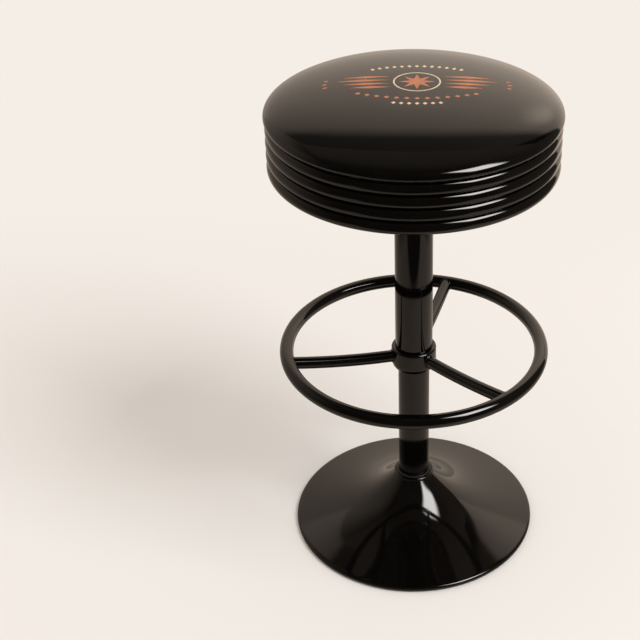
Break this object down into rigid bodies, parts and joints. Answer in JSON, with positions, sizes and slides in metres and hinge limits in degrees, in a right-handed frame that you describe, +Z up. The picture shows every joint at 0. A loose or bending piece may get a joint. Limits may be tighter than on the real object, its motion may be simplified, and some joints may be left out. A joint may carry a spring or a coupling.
{
  "type": "counter stool",
  "caption": "Backless counter stool: domed round cushion on a beaded band, swivelling on a column with a full-circle footrest and a trumpet base.",
  "frame": {"origin": "centre of the base on the floor, under the column", "axes": "+Z up the column; -Y towards the viewer of the front view; +X to that viewer's right"},
  "size_m": [0.3822, 0.3822, 0.6891],
  "materials": {
    "gloss_black_steel": "gloss",
    "zinc_plated_steel": "satin",
    "plain_steel": "satin",
    "cast_iron": "matte",
    "black_nylon": "satin",
    "black_rubber": "matte",
    "brass": "satin",
    "bearing_steel": "polished",
    "plywood": "matte",
    "seat_foam": "matte",
    "black_vinyl": "gloss"
  },
  "bodies": {
    "base": {"base_bell": "gloss_black_steel", "floor_ring": "black_rubber", "base_plate": "zinc_plated_steel", "ballast_weight": "cast_iron", "neck_bush": "black_nylon", "main_column": "gloss_black_steel", "column_foot_plug": "plain_steel", "base_bolt": "zinc_plated_steel", "base_washer": "zinc_plated_steel", "cover_sleeve": "gloss_black_steel", "sleeve_spacer": "black_nylon", "footrest_hub": "gloss_black_steel", "footrest_ring": "gloss_black_steel", "footrest_spoke_1": "gloss_black_steel", "footrest_spoke_2": "gloss_black_steel", "footrest_spoke_3": "gloss_black_steel", "hub_set_screw_1": "zinc_plated_steel", "hub_set_screw_2": "zinc_plated_steel", "column_flange": "gloss_black_steel", "swivel_lower_plate": "zinc_plated_steel", "flange_bolt_1": "zinc_plated_steel", "flange_nut_1": "zinc_plated_steel", "flange_bolt_2": "zinc_plated_steel", "flange_nut_2": "zinc_plated_steel", "flange_bolt_3": "zinc_plated_steel", "flange_nut_3": "zinc_plated_steel", "flange_bolt_4": "zinc_plated_steel", "flange_nut_4": "zinc_plated_steel", "king_rivet": "zinc_plated_steel"},
    "bearing": {"bearing_cage": "brass", "bearing_ball_1": "bearing_steel", "bearing_ball_2": "bearing_steel", "bearing_ball_3": "bearing_steel", "bearing_ball_4": "bearing_steel", "bearing_ball_5": "bearing_steel", "bearing_ball_6": "bearing_steel", "bearing_ball_7": "bearing_steel", "bearing_ball_8": "bearing_steel", "bearing_ball_9": "bearing_steel", "bearing_ball_10": "bearing_steel", "bearing_ball_11": "bearing_steel", "bearing_ball_12": "bearing_steel"},
    "seat": {"swivel_upper_plate": "zinc_plated_steel", "seat_screw_1": "zinc_plated_steel", "seat_screw_2": "zinc_plated_steel", "seat_screw_3": "zinc_plated_steel", "seat_screw_4": "zinc_plated_steel", "seat_board": "plywood", "bead_band": "gloss_black_steel", "band_screw_1": "zinc_plated_steel", "band_screw_2": "zinc_plated_steel", "band_screw_3": "zinc_plated_steel", "band_screw_4": "zinc_plated_steel", "foam_pad": "seat_foam", "vinyl_cover": "black_vinyl"}
  },
  "joints": [
    {"name": "seat_swivel", "type": "hinge", "parent": "base", "child": "seat", "pos_m": [0, 0, 0.5793], "axis": [0, 0, 1], "continuous": true},
    {"name": "bearing_spin", "type": "hinge", "parent": "base", "child": "bearing", "pos_m": [0, 0, 0.5793], "axis": [0, 0, 1], "continuous": true}
  ],
  "couplings": [
    {"joint": "bearing_spin", "follows": "seat_swivel", "ratio": 0.5}
  ]
}
